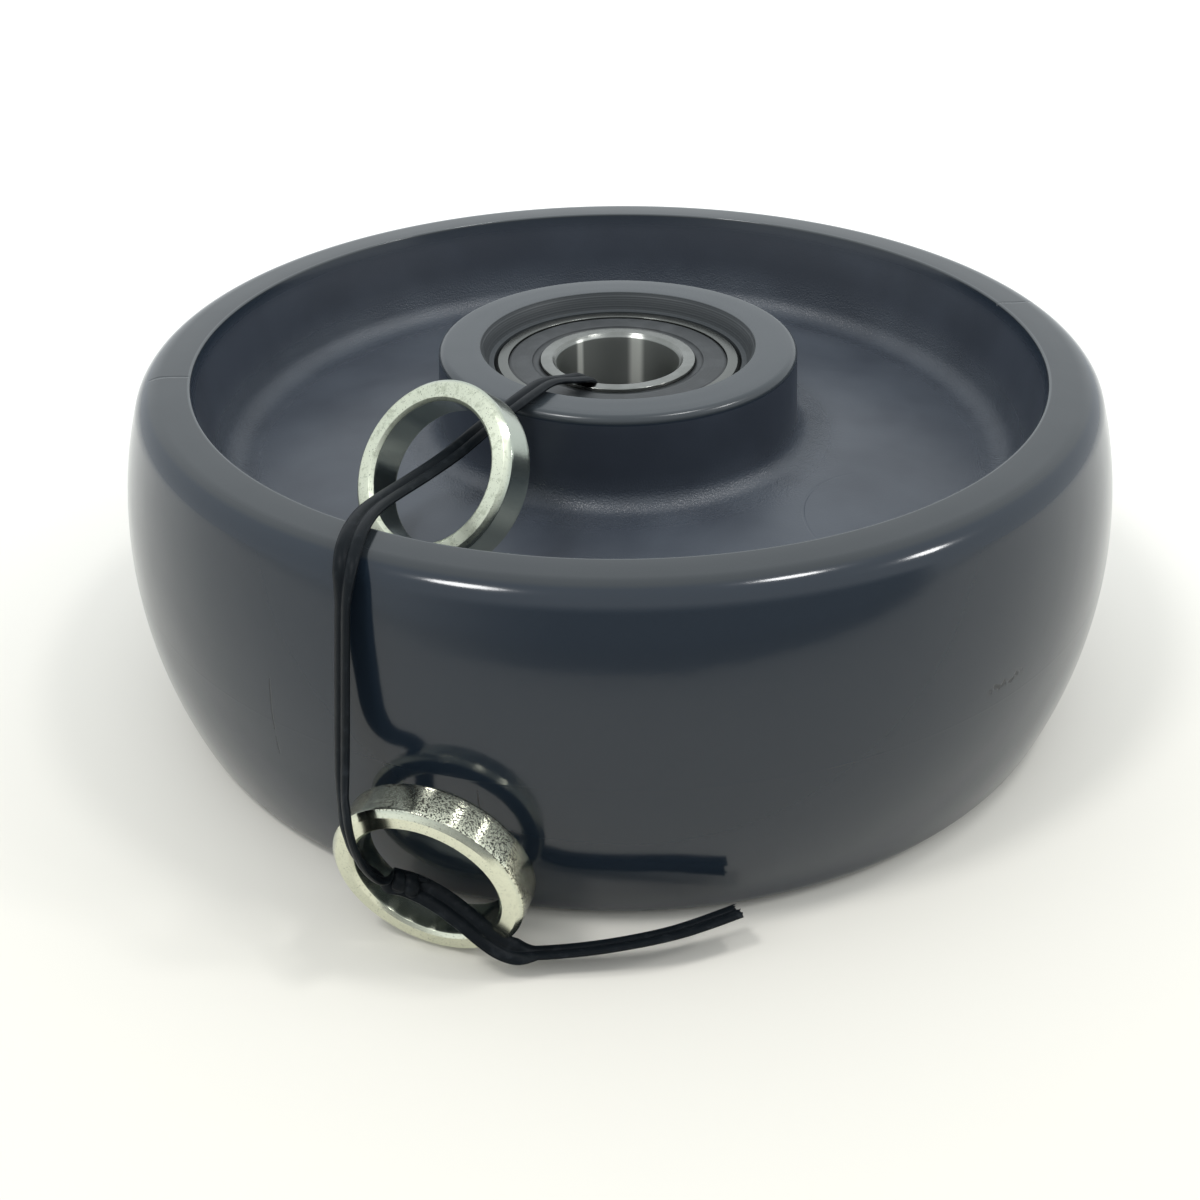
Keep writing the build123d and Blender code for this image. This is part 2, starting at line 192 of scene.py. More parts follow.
class Socket:
    """A shader socket that can stand in a sum. The finish itself is one with no socket."""

    def __init__(self, tree, socket=None):
        self.tree = tree
        self.socket = socket

    def node(self, kind, settings, inputs, output=0):
        """Any node: its settings first, then the values or links of its sockets by name or index."""
        made = self.tree.nodes.new("ShaderNode" + kind)
        for name, value in settings.items():
            setattr(made, name, value)
        for name, value in inputs.items():
            if isinstance(value, Socket):
                self.tree.links.new(value.socket, made.inputs[name])
            else:
                made.inputs[name].default_value = value
        return Socket(self.tree, made.outputs[output])

    def sum(self, operation, *values):
        """A Math node on this socket and other values."""
        return self.node("Math", {"operation": operation}, dict(enumerate((self, *values))))

    def __add__(self, other):
        return self.sum("ADD", other)

    def __sub__(self, other):
        return self.sum("SUBTRACT", other)

    def __mul__(self, other):
        return self.sum("MULTIPLY", other)

    def __rsub__(self, other):
        return self.node("Math", {"operation": "SUBTRACT"}, {0: other, 1: self})

    __radd__ = __add__
    __rmul__ = __mul__

    def ramp(self, low, high, start=0.0, end=1.0):
        """A smooth step from start to end as this socket goes from low to high."""
        settings = {"interpolation_type": "SMOOTHSTEP"}
        inputs = {"Value": self, "From Min": low, "From Max": high, "To Min": start, "To Max": end}
        return self.node("MapRange", settings, inputs)

    def noise(self, scale, detail=2.0, rough=0.5):
        """Cloud noise with this socket as its place, scale in cells to the metre."""
        inputs = {"Vector": self, "Scale": scale, "Detail": detail, "Roughness": rough}
        return self.node("TexNoise", {}, inputs)

    def stretched(self, factors):
        """This place with each axis multiplied by a factor."""
        return self.node("VectorMath", {"operation": "MULTIPLY"}, {0: self, 1: factors})

    def parts(self):
        """The X, Y and Z parts of this place."""
        return [self.node("SeparateXYZ", {}, {"Vector": self}, axis) for axis in "XYZ"]

    def tint(self, low, high):
        """A colour between two, by this socket."""
        return self.node("Mix", {"data_type": "RGBA"}, {0: self, 6: (*low, 1), 7: (*high, 1)}, 2)

    def over(self, colour, top):
        """A colour under another one, this socket saying how much of the top one shows."""
        return self.node("Mix", {"data_type": "RGBA"}, {0: self, 6: colour, 7: (*top, 1)}, 2)


def finish_of(name):
    """A new material, its finish to build on, and its Principled shader."""
    material = bpy.data.materials.new(name)
    material.use_nodes = True
    shader = material.node_tree.nodes["Principled BSDF"]
    return material, Socket(material.node_tree), shader


def place_of(finish):
    """The place on a piece, in the piece's own metres."""
    return finish.node("TexCoord", {}, {}, "Object")


def length(x, y):
    """The length across two parts of a place: for x and y, its distance from the Z axis."""
    return (x * x + y * y).sum("SQRT")


def dress(shader, colour, roughness, height, depth, strength=1.0):
    """Link a colour, a roughness and a height map to a Principled shader."""
    tree = colour.tree
    bump = colour.node("Bump", {}, {"Height": height, "Distance": depth, "Strength": strength})
    tree.links.new(colour.socket, shader.inputs["Base Color"])
    tree.links.new(roughness.socket, shader.inputs["Roughness"])
    tree.links.new(bump.socket, shader.inputs["Normal"])


SLATE_DARK = (0.026, 0.032, 0.044)
SLATE_LIGHT = (0.035, 0.043, 0.058)
# Partly painted sheen: the web's lighter colour is partly its grained satin moulding and partly painted sheen
# from the light that it catches.
WEB_SLATE_AND_PAINTED_SHEEN = (0.058, 0.068, 0.084)
SLATE_TREAD = (0.012, 0.019, 0.029)
SLATE_RIM_FACE = (0.025, 0.030, 0.034)
SLATE_HUB_FACE = (0.034, 0.041, 0.047)
SLATE_TURNED = (0.018, 0.022, 0.025)
SLATE_RIDGE = (0.036, 0.042, 0.046)
SLATE_SCRATCHED = (0.005, 0.006, 0.007)
# Painted highlight: the colour of the thin bright line along the rim lip's round.
LIP_PAINTED_HIGHLIGHT = (0.12, 0.13, 0.135)
SLATE_RELIEF = 0.4 * mm
TURNED_PITCH = 0.45 * mm
KNIT_ANGLES = (-170.5, 15.0)
KNIT_WIDTH = 0.005
SCRATCHES = ((-125.4, 25 * mm, 44 * mm), (-112.5, 20 * mm, 30 * mm), (-103.0, 24 * mm, 33 * mm))
SCRATCH_WIDTH = 0.0022
SCRATCH_TAPER = 3 * mm
SCUFF_ANGLE = -49.0
SCUFF_SPAN = 0.07
SCUFF_HEIGHT = 37.4 * mm
INSERT_CENTRE = (53.7 * mm, -38.8 * mm)
INSERT_RADIUS = 18.6 * mm
INSERT_ANGLE = -40.0
INSERT_SPAN = 0.3

# Where each finish starts and where it is full: a radius, a height from the wheel's middle, or a distance
# from a line.
INTO_RECESS = (RIM_LIP_RADIUS, RIM_LIP_RADIUS - 1.0 * mm)
BELOW_FACES = (33.4 * mm, 32.6 * mm)
DOWN_TO_WEB = (24 * mm, 17 * mm)
TOWARDS_HUB = (50 * mm, 41 * mm)
TOWARDS_RIM = (70 * mm, 78 * mm)
INTO_MOUTH = (28.3 * mm, 28.0 * mm)
ABOVE_SEAT = (20 * mm, 25 * mm)
ONTO_TREAD = (94 * mm, 96 * mm)
OFF_SHOULDER = (29 * mm, 26 * mm)
ONTO_FACES = (33.0 * mm, 33.5 * mm)
ONTO_RIM = (84 * mm, 86 * mm)
ONTO_HUB = (38 * mm, 37 * mm)
ONTO_LIP = (0.6 * mm, 0.25 * mm)
UP_TO_LIP = (33.3 * mm, 33.6 * mm)
PARTING_LINE = (0.3 * mm, 0.05 * mm)
INSERT_LINE = (0.35 * mm, 0.1 * mm)
INSERT_REACH = (62 * mm, 56 * mm)
SCUFF_BAND = (1.4 * mm, 0.6 * mm)


def near_angle(angle, degrees, width):
    """A mask round one direction in degrees. Each place's angle and the width are in radians."""
    return (angle - math.radians(degrees)).sum("ABSOLUTE").ramp(width, 0.3 * width)


slate, finish, shader = finish_of("slate_plastic")
place = place_of(finish)
x, y, z = place.parts()
radius = length(x, y)
angle = y.sum("ARCTAN2", x)
from_middle = (z - HALF_WIDTH).sum("ABSOLUTE")
in_recess = radius.ramp(*INTO_RECESS) * from_middle.ramp(*BELOW_FACES)
near_web = in_recess * from_middle.ramp(*DOWN_TO_WEB)
by_hub = near_web * radius.ramp(*TOWARDS_HUB)
by_rim = near_web * radius.ramp(*TOWARDS_RIM)
in_mouth = radius.ramp(*INTO_MOUTH) * from_middle.ramp(*ABOVE_SEAT)
on_tread = radius.ramp(*ONTO_TREAD) * from_middle.ramp(*OFF_SHOULDER)
on_rim_face = from_middle.ramp(*ONTO_FACES) * radius.ramp(*ONTO_RIM)
on_hub_face = from_middle.ramp(*ONTO_FACES) * radius.ramp(*ONTO_HUB)
lip_highlight_mask = (radius - RIM_LIP_RADIUS).sum("ABSOLUTE").ramp(*ONTO_LIP) * from_middle.ramp(*UP_TO_LIP)
mottle = place.noise(45, 3)
orange_peel = place.noise(700, 2)
sparkle = place.noise(2600, 2, 0.6)
ripple = place.noise(60, 1)
turned_lines = (from_middle * (2 * math.pi / TURNED_PITCH)).sum("SINE")
wander = (place.noise(90, 2) - 0.5) * 0.05
grain = in_recess * (0.3 + 2.4 * (by_hub + by_rim)) * sparkle
parting = from_middle.ramp(*PARTING_LINE) * on_tread
knits = 0.0
for knit_angle in KNIT_ANGLES:
    knits = near_angle(angle + wander, knit_angle, KNIT_WIDTH) * on_rim_face + knits
from_insert = length(x - INSERT_CENTRE[0], y - INSERT_CENTRE[1]) - INSERT_RADIUS
insert_line = from_insert.sum("ABSOLUTE").ramp(*INSERT_LINE)
insert_line = insert_line * near_web * (z - HALF_WIDTH).ramp(0, 1 * mm)
insert_line = insert_line * near_angle(angle, INSERT_ANGLE, INSERT_SPAN) * radius.ramp(*INSERT_REACH)
scratches = 0.0
for scratch_angle, low, high in SCRATCHES:
    within = z.ramp(low, low + SCRATCH_TAPER) * z.ramp(high, high - SCRATCH_TAPER)
    scratches = near_angle(angle + 0.12 * wander, scratch_angle, SCRATCH_WIDTH) * within + scratches
scratches = scratches * place.noise(150, 2).ramp(0.38, 0.5)
scuffs = near_angle(angle, SCUFF_ANGLE, SCUFF_SPAN)
scuffs = scuffs * (z - SCUFF_HEIGHT).sum("ABSOLUTE").ramp(*SCUFF_BAND)
scuffs = scuffs * place.noise(600, 2).ramp(0.52, 0.6)
marks = on_tread * (scratches + scuffs)
colour = mottle.ramp(0.35, 0.7).tint(SLATE_DARK, SLATE_LIGHT)
# Partly painted sheen: the web, which faces up, is painted lighter than the walls round it. This is partly
# its grained moulding and partly painted sheen.
colour = (near_web * mottle.ramp(0.0, 0.8)).over(colour, WEB_SLATE_AND_PAINTED_SHEEN)
colour = (1 - in_recess).over(colour, SLATE_TREAD)
colour = on_rim_face.over(colour, SLATE_RIM_FACE)
colour = on_hub_face.over(colour, SLATE_HUB_FACE)
# Painted highlight: a thin lighter line along the rim lip's round, standing in for the light that its edge
# catches.
colour = (0.5 * lip_highlight_mask).over(colour, LIP_PAINTED_HIGHLIGHT)
colour = in_mouth.over(colour, SLATE_TURNED)
colour = (in_mouth * turned_lines.ramp(0.2, 0.9)).over(colour, SLATE_RIDGE)
colour = (0.7 * marks).over(colour, SLATE_SCRATCHED)
roughness = in_recess.ramp(0, 1, 0.10, 0.34) - 0.14 * (by_hub + by_rim) + 0.05 * place.noise(160, 2)
roughness = roughness + 0.1 * on_hub_face + 0.25 * in_mouth + 0.05 * parting + 0.3 * marks
height = 0.5 * ripple + 0.03 * orange_peel + 0.3 * grain + 0.04 * parting
height = height - 0.5 * knits - 0.1 * marks - 0.3 * insert_line
dress(shader, colour, roughness, height, SLATE_RELIEF, strength=0.5)
wheel.data.materials.append(slate)
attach(wheel, "wheel")
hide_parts("wheel_body")

# Ball bearings: one in each end of the hub, pressed in against a shoulder. The rings are hardened steel,
# turned and then ground all over, with broken edges. They are the part of the bearing that shines.
BEARING_HALF = BEARING_WIDTH / 2
BEARING_MIDDLES = {"upper": HALF_WIDTH + UPPER_HUB_HALF - BEARING_RECESS - BEARING_HALF,
                   "lower": HALF_WIDTH - LOWER_HUB_HALF + BEARING_RECESS + BEARING_HALF}
BORE_RADIUS = 12.7 * mm
BEARING_RADIUS = 25.4 * mm
RING_CHAMFER = 0.8 * mm
SHOULDER_HALF = BEARING_HALF - 1.6 * mm
PITCH_RADIUS = (BORE_RADIUS + BEARING_RADIUS) / 2
BALL_RADIUS = 3.175 * mm
GROOVE_RADIUS = 1.04 * BALL_RADIUS
GROOVE_REACH = BALL_RADIUS + 0.04 * mm
GROOVE_STEPS = 16
INNER_LAND = BORE_RADIUS + 3.2 * mm
INNER_SHOULDER = PITCH_RADIUS - 1.75 * mm
OUTER_SHOULDER = PITCH_RADIUS + 1.85 * mm
OUTER_FACE = BEARING_RADIUS - 2.9 * mm
SEAL_GROOVE = OUTER_FACE + 0.7 * mm
SEAL_LIP_HALF = BEARING_HALF - 0.6 * mm
BROKEN_EDGE = 0.15 * mm
EDGE_STEPS = 4
RING_STEPS = 180
LONGEST_RING_RUN = 1.0 * mm
STEEL_RELIEF = 0.02 * mm
STEEL_ANISOTROPY = 0.8
TURNING_DIRECTION = 0.25
ONTO_OUTER_RING = (18 * mm, 20 * mm)
STEEL_DARK = (0.23, 0.235, 0.22)
STEEL_LIGHT = (0.28, 0.285, 0.27)
# Painted shade: the colour of the outer ring, which sits down in the hub, darker than the same steel of the
# inner ring.
OUTER_RING_PAINTED_SHADE = (0.16, 0.165, 0.155)
STEEL_BORE = (0.27, 0.28, 0.265)
# Painted highlights down the bore: their colour, then the angle in degrees and width in radians of each
# bright streak.
BORE_HIGHLIGHT_PAINT = (0.85, 0.86, 0.80)
BORE_PAINTED_HIGHLIGHTS = {72: 0.17, 129: 0.09, -35: 0.12, -150: 0.10}


def ball_groove(shoulder, side):
    """The groove that the balls run in, cut into a ring's shoulder. side is 1 on the inner ring."""
    centre = PITCH_RADIUS - side * (GROOVE_REACH - GROOVE_RADIUS)
    half_angle = math.acos((centre - shoulder) * side / GROOVE_RADIUS)
    middle = math.pi if side > 0 else 0
    first = middle - side * half_angle
    last = middle + side * half_angle
    return arc((centre, 0), GROOVE_RADIUS, first, last, GROOVE_STEPS)


def at_height(section, height):
    """A section moved up to a piece's middle."""
    return [(r, height + z) for r, z in section]


inner_corners = [
    (INNER_SHOULDER, 0, 0),
    (INNER_SHOULDER, SHOULDER_HALF, BROKEN_EDGE),
    (INNER_LAND, SHOULDER_HALF, 0),
    (INNER_LAND, BEARING_HALF, BROKEN_EDGE),
    (BORE_RADIUS + RING_CHAMFER, BEARING_HALF, BROKEN_EDGE),
    (BORE_RADIUS, BEARING_HALF - RING_CHAMFER, BROKEN_EDGE),
    (BORE_RADIUS, 0, 0),
]
outer_corners = [
    (OUTER_SHOULDER, 0, 0),
    (OUTER_SHOULDER, SHOULDER_HALF, BROKEN_EDGE),
    (SEAL_GROOVE, SHOULDER_HALF, 0),
    (SEAL_GROOVE, SEAL_LIP_HALF, 0),
    (OUTER_FACE, SEAL_LIP_HALF, 0),
    (OUTER_FACE, BEARING_HALF, BROKEN_EDGE),
    (BEARING_RADIUS - RING_CHAMFER, BEARING_HALF, BROKEN_EDGE),
    (BEARING_RADIUS, BEARING_HALF - RING_CHAMFER, BROKEN_EDGE),
    (BEARING_RADIUS, 0, 0),
]


def ring_section(corners, groove):
    """A bearing ring's whole section: its corners above and below, and the groove between."""
    upper = divided(rounded(corners, EDGE_STEPS)[1:], LONGEST_RING_RUN)
    return groove + upper + mirrored(upper)[1:]


def turned_noise(radius, height, scale):
    """Noise that changes only with radius and height, as the lines do that turning and grinding leave."""
    across = radius.node("CombineXYZ", {}, {"X": radius, "Y": height})
    return across.noise(scale, 2, 0.6)


inner_section = ring_section(inner_corners, ball_groove(INNER_SHOULDER, 1))
outer_section = ring_section(outer_corners, ball_groove(OUTER_SHOULDER, -1))

ground_steel, finish, shader = finish_of("ground_steel")
place = place_of(finish)
x, y, z = place.parts()
radius = length(x, y)
grinding = turned_noise(radius, z, 9000)
smears = place.noise(260, 3)
colour = smears.ramp(0.35, 0.7).tint(STEEL_DARK, STEEL_LIGHT)
in_bore = radius.ramp(BORE_RADIUS + 0.5 * mm, BORE_RADIUS + 0.1 * mm)
angle = y.sum("ARCTAN2", x)
# Painted highlights: bright vertical streaks at the listed angles in the bore, standing in for the light that
# its grinding lines catch.
painted_bore_highlights = 0.0
for highlight_angle, width in BORE_PAINTED_HIGHLIGHTS.items():
    painted_bore_highlights = near_angle(angle, highlight_angle, width) * in_bore + painted_bore_highlights
# Painted shade: the outer ring is painted darker than the inner ring, for the shade down in the hub.
colour = radius.ramp(*ONTO_OUTER_RING).over(colour, OUTER_RING_PAINTED_SHADE)
colour = in_bore.over(colour, STEEL_BORE)
colour = painted_bore_highlights.over(colour, BORE_HIGHLIGHT_PAINT)
roughness = 0.17 + 0.08 * grinding + 0.04 * smears + 0.2 * in_bore
dress(shader, colour, roughness, grinding, STEEL_RELIEF, strength=0.5)
shader.inputs["Metallic"].default_value = 1.0
shader.inputs["Anisotropic"].default_value = STEEL_ANISOTROPY
shader.inputs["Anisotropic Rotation"].default_value = TURNING_DIRECTION

for side, middle in BEARING_MIDDLES.items():
    rings = (("inner_ring", inner_section, "inner_race"), ("outer_ring", outer_section, "wheel"))
    for ring, section, body in rings:
        piece = turned_piece(f"{side}_{ring}", at_height(section, middle), RING_STEPS)
        piece.data.materials.append(ground_steel)
        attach(piece, body)
        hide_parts(f"{side}_bearing_{ring}")

# Bearing seals: black rubber moulded over a thin plate, a bead snapped into the outer ring's groove, and a
# thin lip that runs on the inner ring. The face steps down to the lip.
SEAL_PLAY = 0.05 * mm
SEAL_INNER = INNER_LAND + 0.1 * mm
SEAL_OUTER = SEAL_GROOVE - SEAL_PLAY
SEAL_FACE = BEARING_HALF - 0.25 * mm
SEAL_STEP = INNER_LAND + 1.7 * mm
SEAL_BACK = SHOULDER_HALF + SEAL_PLAY
SEAL_STEP_DEPTH = 0.45 * mm
SEAL_EDGE_DROP = 0.2 * mm
SEAL_EDGE_REACH = 0.6 * mm
LONGEST_SEAL_RUN = 0.8 * mm
SEAL_RELIEF = 0.05 * mm
FLOW_RINGS = 9000
RUBBER_DARK = (0.020, 0.023, 0.025)
RUBBER_GREY = (0.042, 0.046, 0.049)
seal_corners = [
    (SEAL_INNER, SEAL_BACK, 0),
    (SEAL_OUTER, SEAL_BACK, 0),
    (SEAL_OUTER, SEAL_LIP_HALF - SEAL_PLAY, 0),
    (OUTER_FACE - SEAL_PLAY, SEAL_LIP_HALF - SEAL_PLAY, 0),
    (OUTER_FACE - SEAL_PLAY, SEAL_FACE - SEAL_EDGE_DROP, 0.1 * mm),
    (OUTER_FACE - SEAL_EDGE_REACH, SEAL_FACE, 0.3 * mm),
    (SEAL_STEP, SEAL_FACE, 0.2 * mm),
    (SEAL_STEP - 0.1 * mm, SEAL_FACE - SEAL_STEP_DEPTH, 0),
    (SEAL_INNER, SEAL_FACE - SEAL_STEP_DEPTH, 0),
    (SEAL_INNER, SEAL_BACK, 0),
]
seal_section = divided(rounded(seal_corners, EDGE_STEPS), LONGEST_SEAL_RUN)[:-1]

seal_rubber, finish, shader = finish_of("seal_rubber")
place = place_of(finish)
x, y, _ = place.parts()
bloom = place.noise(300, 4, 0.6)
pores = place.noise(4200, 2)
flow_rings = (length(x, y) * FLOW_RINGS).sum("SINE")
colour = bloom.ramp(0.4, 0.75).tint(RUBBER_DARK, RUBBER_GREY)
roughness = 0.34 + 0.2 * bloom
dress(shader, colour, roughness, 0.6 * pores + 0.15 * flow_rings, SEAL_RELIEF, strength=0.5)

for side, middle in BEARING_MIDDLES.items():
    outward = 1 if side == "upper" else -1
    for seal, facing in (("outer_seal", outward), ("inner_seal", -outward)):
        section = [(r, middle + facing * z) for r, z in seal_section]
        piece = turned_piece(f"{side}_{seal}", section, RING_STEPS)
        piece.data.materials.append(seal_rubber)
        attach(piece, "wheel")
        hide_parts(f"{side}_bearing_{seal}")

# Balls and cages, out of sight between the seals: polished steel balls in a ribbon cage of two pressed halves
# held by rivets. Their solids have the true form, so they only take a finish.
BALL_DARK = (0.62, 0.63, 0.64)
BALL_LIGHT = (0.72, 0.72, 0.71)
BALL_RELIEF = 0.01 * mm
CAGE_PIECES = ("cage_outer_half", "cage_inner_half", "cage_rivets")
CAGE_DARK = (0.36, 0.36, 0.35)
CAGE_LIGHT = (0.52, 0.52, 0.50)
CAGE_RELIEF = 0.05 * mm

ball_steel, finish, shader = finish_of("ball_steel")
film = place_of(finish).noise(500, 2)
dress(shader, film.tint(BALL_DARK, BALL_LIGHT), 0.05 + 0.06 * film, film, BALL_RELIEF, strength=0.2)
shader.inputs["Metallic"].default_value = 1.0

cage_steel, finish, shader = finish_of("cage_steel")
pressing = place_of(finish).noise(900, 3, 0.6)
colour = pressing.tint(CAGE_DARK, CAGE_LIGHT)
dress(shader, colour, 0.3 + 0.15 * pressing, pressing, CAGE_RELIEF, strength=0.4)
shader.inputs["Metallic"].default_value = 1.0


def refinish(node, material):
    """Give a solid that stays in view a better finish."""
    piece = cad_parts[node]
    piece.data.materials.clear()
    piece.data.materials.append(material)


for side in BEARING_MIDDLES:
    refinish(f"{side}_bearing_balls", ball_steel)
    for cage_piece in CAGE_PIECES:
        refinish(f"{side}_bearing_{cage_piece}", cage_steel)

# Bearing spacer: a cut length of drawn steel tube, held between the two inner rings so that they can't be
# squeezed together. It is seen only down the bore, and its solid has the true form, so it takes a finish.
TUBE_DARK = (0.20, 0.19, 0.18)
TUBE_LIGHT = (0.42, 0.41, 0.39)
TUBE_RELIEF = 0.05 * mm
TUBE_DRAWING = (1.0, 1.0, 0.06)

tube_steel, finish, shader = finish_of("tube_steel")
place = place_of(finish)
drawn = place.stretched(TUBE_DRAWING).noise(1800, 3, 0.6)
stain = place.noise(120, 3)
colour = (0.5 * drawn + 0.5 * stain).ramp(0.35, 0.7).tint(TUBE_DARK, TUBE_LIGHT)
dress(shader, colour, 0.3 + 0.2 * stain, drawn, TUBE_RELIEF, strength=0.5)
shader.inputs["Metallic"].default_value = 1.0
refinish("bearing_spacer_tube", tube_steel)

# Axle spacers: two rings turned from bar, bored, chamfered and bright zinc plated with a pale yellow-green
# passivation. One stands on the web, the other on the floor by the tread.
SPACER_RADIUS = 17.0 * mm
SPACER_BORE = 13.0 * mm
SPACER_HALF = 3.8 * mm
SPACER_CHAMFER = 1.0 * mm
SPACER_BORE_CHAMFER = 0.6 * mm
LONGEST_SPACER_RUN = 0.9 * mm
SPACER_AXES = {"upper": (-129.0, 37.1), "lower": (-108.7, -9.5)}
SPACER_WEAR = {"upper": 0.0, "lower": 1.0}
ZINC_COOL = (0.47, 0.51, 0.44)
ZINC_WARM = (0.70, 0.73, 0.59)
ZINC_STAIN = (0.52, 0.55, 0.43)
ZINC_RUBBED = (0.74, 0.75, 0.60)
ZINC_DULL = (0.08, 0.08, 0.065)
ZINC_RELIEF = 0.03 * mm
ZINC_ANISOTROPY = 0.6
spacer_upper = rounded([
    (SPACER_BORE, 0, 0),
    (SPACER_BORE, SPACER_HALF - SPACER_BORE_CHAMFER, BROKEN_EDGE),
    (SPACER_BORE + SPACER_BORE_CHAMFER, SPACER_HALF, BROKEN_EDGE),
    (SPACER_RADIUS - SPACER_CHAMFER, SPACER_HALF, BROKEN_EDGE),
    (SPACER_RADIUS, SPACER_HALF - SPACER_CHAMFER, BROKEN_EDGE),
    (SPACER_RADIUS, 0, 0),
], EDGE_STEPS)
spacer_upper = divided(spacer_upper, LONGEST_SPACER_RUN)
spacer_section = spacer_upper + mirrored(spacer_upper)[1:-1]


def zinc_plate(name, worn):
    """Bright zinc. worn, from 0 to 1, is how much of the outside wall is rubbed to a speckle."""
    material, finish, shader = finish_of(name)
    place = place_of(finish)
    x, y, z = place.parts()
    radius = length(x, y)
    on_wall = radius.ramp(SPACER_RADIUS - 0.3 * mm, SPACER_RADIUS - 0.05 * mm)
    on_face = z.sum("ABSOLUTE").ramp(SPACER_HALF - 1.2 * mm, SPACER_HALF - 0.2 * mm)
    tool_lines = turned_noise(radius, z, 4200)
    clouds = place.noise(60, 2)
    waves = place.noise(220, 2)
    speckle = place.noise(3600, 1, 0.5)
    grains = finish.node("TexVoronoi", {}, {"Vector": place, "Scale": 5000}, "Color")
    stain = place.noise(700, 3, 0.7)
    rubbed = worn * (on_wall * clouds.ramp(0.34, 0.5) + 0.7 * on_face)
    spangle = rubbed * on_wall * grains.ramp(0.53, 0.70)
    pits = on_face * speckle.ramp(0.66, 0.7) * 0.6
    passivation = (0.6 * on_face + 0.5 * clouds).ramp(0.2, 0.9)
    colour = (on_face * stain.ramp(0.5, 0.66)).over(passivation.tint(ZINC_COOL, ZINC_WARM), ZINC_STAIN)
    colour = rubbed.over(colour, ZINC_RUBBED)
    colour = (spangle + pits).over(colour, ZINC_DULL)
    roughness = 0.10 + 0.05 * tool_lines + (0.24 - 0.14 * worn) * on_face + 0.1 * spangle
    height = 0.35 * tool_lines + on_face * waves + 0.5 * worn * on_wall * speckle
    dress(shader, colour, roughness, height, ZINC_RELIEF, strength=0.35)
    shader.inputs["Metallic"].default_value = 1.0
    shader.inputs["Anisotropic"].default_value = ZINC_ANISOTROPY
    shader.inputs["Anisotropic Rotation"].default_value = TURNING_DIRECTION
    return material


for side, (heading, rise) in SPACER_AXES.items():
    low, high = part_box(f"{side}_axle_spacer")
    spacer = turned_piece(f"{side}_spacer_ring", spacer_section, RING_STEPS)
    turn = Matrix.Rotation(math.radians(heading), 4, "Z") @ Matrix.Rotation(math.radians(90 - rise), 4, "Y")
    spacer.matrix_world = Matrix.Translation((Vector(low) + Vector(high)) / 2) @ turn
    spacer.data.materials.append(zinc_plate(f"{side}_spacer_zinc", SPACER_WEAR[side]))
    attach(spacer, "wheel")
    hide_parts(f"{side}_axle_spacer")

# Tie strap: a flat black plastic band with two ribs, thrown over the wheel to keep the spacers with it. It
# hangs in the bore, runs through both spacers and ends just off the floor. Each run below, in millimetres,
# starts with the way that its flat side faces.
STRAP_RUNS = [
    ((0.55, 0.83, 0.0), [(-5.2, -7.8, 56.4), (-5.3, -8.8, 61.2)]),
    ((0.3, 0.3, 0.9), [(-5.7, -11.4, 65.6)]),
    ((0.0, 0.12, 1.0), [
        (-9.4, -16.2, 67.2), (-13.4, -21.2, 69.2), (-16.4, -27.6, 69.7), (-19.4, -33.6, 69.8),
    ]),
    ((0.0, 0.0, 1.0), [
        (-24.2, -40.2, 68.6), (-29.4, -47.6, 66.7), (-34.8, -55.6, 66.2), (-38.4, -62.6, 66.8),
        (-41.0, -70.4, 68.2), (-42.0, -77.4, 69.0), (-42.4, -83.0, 68.9),
    ]),
    ((-0.4, -0.6, 0.7), [(-42.7, -87.6, 66.9)]),
    ((-0.8, -0.6, 0.1), [
        (-43.2, -89.6, 62.2), (-43.5, -92.0, 55.8), (-43.9, -94.8, 47.6), (-44.4, -97.0, 39.2),
        (-44.4, -100.4, 33.8), (-43.5, -105.6, 31.2),
    ]),
    ((-0.8, -0.5, -0.2), [(-42.5, -107.6, 27.8), (-41.8, -106.6, 23.2), (-39.9, -103.4, 16.9)]),
    ((-0.3, -0.4, 0.85), [(-35.1, -102.0, 14.5), (-29.8, -104.0, 12.9)]),
    ((0.1, -0.6, 0.8), [
        (-25.2, -106.5, 10.6), (-21.9, -108.2, 8.4), (-19.2, -108.6, 6.2), (-16.4, -108.0, 4.5),
    ]),
    ((0.0, 0.36, 1.0), [
        (-12.2, -107.1, 3.6), (-3.2, -106.8, 4.5), (6.8, -105.7, 5.9), (13.6, -103.8, 6.7),
        (20.1, -100.8, 7.1),
    ]),
]
STRAP_HALF_WIDTH = 2.2 * mm
RIB_HALF_WIDTH = STRAP_HALF_WIDTH / 2
RIB_HALF_HEIGHT = 0.62 * mm
STRAP_HALF_WEB = 0.2 * mm
RIB_STEPS = 10
SPLINE_STEPS = 12
CUT_RAG = 0.35 * mm
RAG_WAVES = (7, 17)
STRAP_DRAWING = (0.03, 1.0, 1.0)
STRAP_RELIEF = 0.06 * mm
STRAP_BLACK = (0.006, 0.008, 0.010)
STRAP_GREY = (0.015, 0.018, 0.021)


def strap_thickness(across):
    """Half the strap's thickness at a distance from its middle line."""
    on_rib = (abs(across) - RIB_HALF_WIDTH) / RIB_HALF_WIDTH
    return max(STRAP_HALF_WEB, RIB_HALF_HEIGHT * math.sqrt(max(0, 1 - on_rib * on_rib)))


def spline_points(name, route):
    """A smooth line along a route, and the points that it goes through."""
    curve = bpy.data.curves.new(name, "CURVE")
    curve.dimensions = "3D"
    curve.resolution_u = SPLINE_STEPS
    spline = curve.splines.new("NURBS")
    spline.points.add(len(route) - 1)
    for point, place in zip(spline.points, route):
        point.co = (*place, 1)
    spline.order_u = 3
    spline.use_endpoint_u = True
    line = bpy.data.objects.new(name, curve)
    mesh = bpy.data.meshes.new_from_object(line)
    points = [vertex.co.copy() for vertex in mesh.vertices]
    bpy.data.objects.remove(line)
    return points


